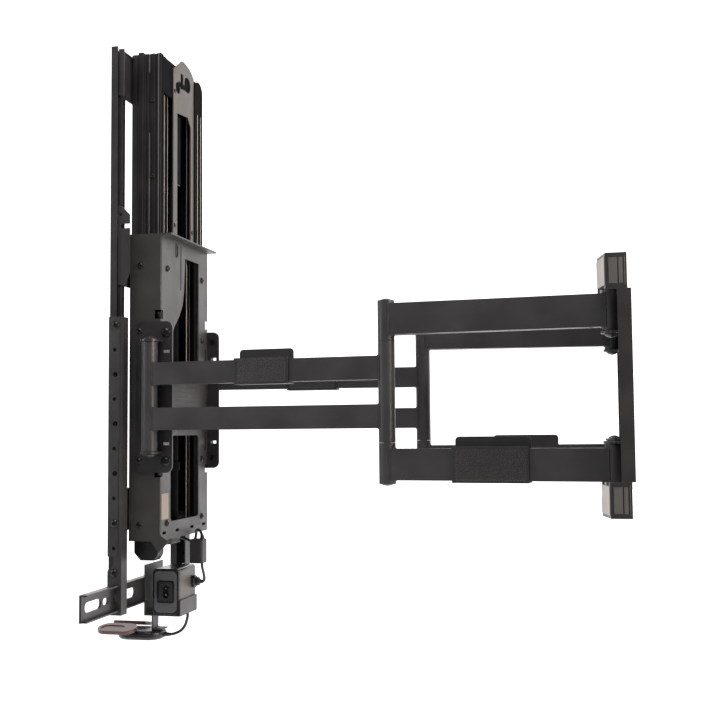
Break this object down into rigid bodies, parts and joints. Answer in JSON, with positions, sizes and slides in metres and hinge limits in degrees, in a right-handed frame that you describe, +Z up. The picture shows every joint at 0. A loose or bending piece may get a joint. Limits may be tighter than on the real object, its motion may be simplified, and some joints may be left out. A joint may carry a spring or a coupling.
{
  "type": "pull-down tv wall mount",
  "caption": "Wall mount for a flat screen: folding arms carry a motor-driven telescopic lift that lowers slotted screen rails, with a power supply and sensor pod below.",
  "frame": {"origin": "centre of the wall plate's back face, at the arms' mid-height", "axes": "+Y into the wall, -Y towards the screen, +Z up, +X to the picture camera's side; arms pulled out and lift raised at rest"},
  "size_m": [0.44, 0.7219, 0.814],
  "materials": {
    "black_steel": "satin black powder coat",
    "dark_steel": "satin dark grey powder coat",
    "warm_steel": "satin powder coat, warm grey where it faces the wall",
    "bright_steel": "bright steel",
    "cover_plastic": "matte warm grey plastic",
    "black_plastic": "finely textured black plastic",
    "box_plastic": "satin dark grey plastic",
    "paddle_plastic": "smoky red-grey plastic",
    "belt_rubber": "black toothed belt",
    "lead_rubber": "black rubber sheath",
    "label_paper": "blank paper label"
  },
  "bodies": {
    "wall_bracket": {"wall_plate": "black_steel", "upper_wall_cover": "cover_plastic", "lower_wall_cover": "cover_plastic", "near_wall_hinge": "dark_steel", "far_wall_hinge": "dark_steel", "wall_hinge_pins": "black_steel"},
    "near_upper_arm": {"near_upper_arm_top": "dark_steel", "near_upper_arm_bottom": "dark_steel", "near_elbow_pin": "black_steel", "near_upper_arm_clip": "black_plastic"},
    "far_upper_arm": {"far_upper_arm_top": "dark_steel", "far_upper_arm_bottom": "dark_steel", "far_elbow_pin": "black_steel", "far_upper_arm_clip": "black_plastic"},
    "near_forearm": {"near_forearm": "dark_steel", "near_forearm_clip": "black_plastic"},
    "far_forearm": {"far_forearm": "dark_steel", "far_forearm_clip": "black_plastic"},
    "carriage": {"carriage_shell": "dark_steel", "carriage_slides": "black_steel", "near_head_hinge": "black_steel", "far_head_hinge": "black_steel", "head_hinge_pins": "black_steel", "carriage_bolts": "black_steel", "blank_label": "label_paper", "actuator_tube": "dark_steel", "actuator_bracket": "dark_steel", "motor_cap": "black_plastic"},
    "lift_column": {"column_rails": "black_steel", "column_foot": "black_plastic", "gable_plate": "warm_steel", "column_end_plates": "black_steel", "actuator_rod": "bright_steel", "belt_cover": "black_plastic", "lift_belts": "belt_rubber", "pulley_axles": "bright_steel"},
    "upper_pulleys": {"upper_pulleys": "dark_steel"},
    "lower_pulleys": {"lower_pulleys": "dark_steel"},
    "screen_frame": {"front_slides": "black_steel", "upper_cross_bar": "black_steel", "middle_cross_bar": "black_steel", "lower_cross_bar": "black_steel", "near_tv_rail": "black_steel", "far_tv_rail": "black_steel", "near_side_strip": "dark_steel", "far_side_strip": "dark_steel", "strip_bolts": "black_steel", "slotted_bar": "black_steel", "power_tray": "dark_steel", "power_box": "box_plastic", "power_inlet": "black_plastic", "inlet_pins": "bright_steel", "inline_block": "black_plastic", "box_lead": "lead_rubber", "column_lead": "lead_rubber", "lead_clamp": "black_plastic", "sensor_tab": "dark_steel", "sensor_body": "black_plastic", "sensor_lobes": "paddle_plastic", "sensor_lead": "lead_rubber"}
  },
  "joints": [
    {"name": "near_shoulder", "type": "hinge", "parent": "wall_bracket", "child": "near_upper_arm", "pos_m": [0.15, -0.022, 0], "axis": [0, 0, 1], "range_deg": [-3, 72]},
    {"name": "near_elbow", "type": "hinge", "parent": "near_upper_arm", "child": "near_forearm", "pos_m": [0.128, -0.2896, 0], "axis": [0, 0, 1], "range_deg": [-133.4, 5.6]},
    {"name": "near_head", "type": "hinge", "parent": "near_forearm", "child": "carriage", "pos_m": [0.101, -0.61247, 0], "axis": [0, 0, 1], "range_deg": [-2.6, 61.4]},
    {"name": "far_shoulder", "type": "hinge", "parent": "wall_bracket", "child": "far_upper_arm", "pos_m": [-0.15, -0.022, 0], "axis": [0, 0, 1], "range_deg": [-71.9, 3]},
    {"name": "far_elbow", "type": "hinge", "parent": "far_upper_arm", "child": "far_forearm", "pos_m": [-0.128, -0.2896, 0], "axis": [0, 0, 1], "range_deg": [-5.6, 133.4]},
    {"name": "column_slide", "type": "slide", "parent": "carriage", "child": "lift_column", "axis": [0, 0, -1], "range_m": [0, 0.3]},
    {"name": "screen_slide", "type": "slide", "parent": "lift_column", "child": "screen_frame", "axis": [0, 0, -1], "range_m": [0, 0.3]},
    {"name": "upper_pulley_spin", "type": "hinge", "parent": "lift_column", "child": "upper_pulleys", "pos_m": [0.04, -0.62787, 0.448], "axis": [1, 0, 0], "range_deg": [-10, 1860]},
    {"name": "lower_pulley_spin", "type": "hinge", "parent": "lift_column", "child": "lower_pulleys", "pos_m": [0.04, -0.62787, -0.168], "axis": [1, 0, 0], "range_deg": [-10, 1860]}
  ],
  "couplings": [
    {"joint": "near_elbow", "follows": "near_shoulder", "ratio": -1.8529},
    {"joint": "near_head", "follows": "near_shoulder", "ratio": 0.8529},
    {"joint": "far_shoulder", "follows": "near_shoulder", "ratio": -0.9977},
    {"joint": "far_elbow", "follows": "near_shoulder", "ratio": 1.8525},
    {"joint": "screen_slide", "follows": "column_slide", "ratio": 1},
    {"joint": "upper_pulley_spin", "follows": "column_slide", "rad_per_m": 107.53},
    {"joint": "lower_pulley_spin", "follows": "column_slide", "rad_per_m": 107.53}
  ]
}
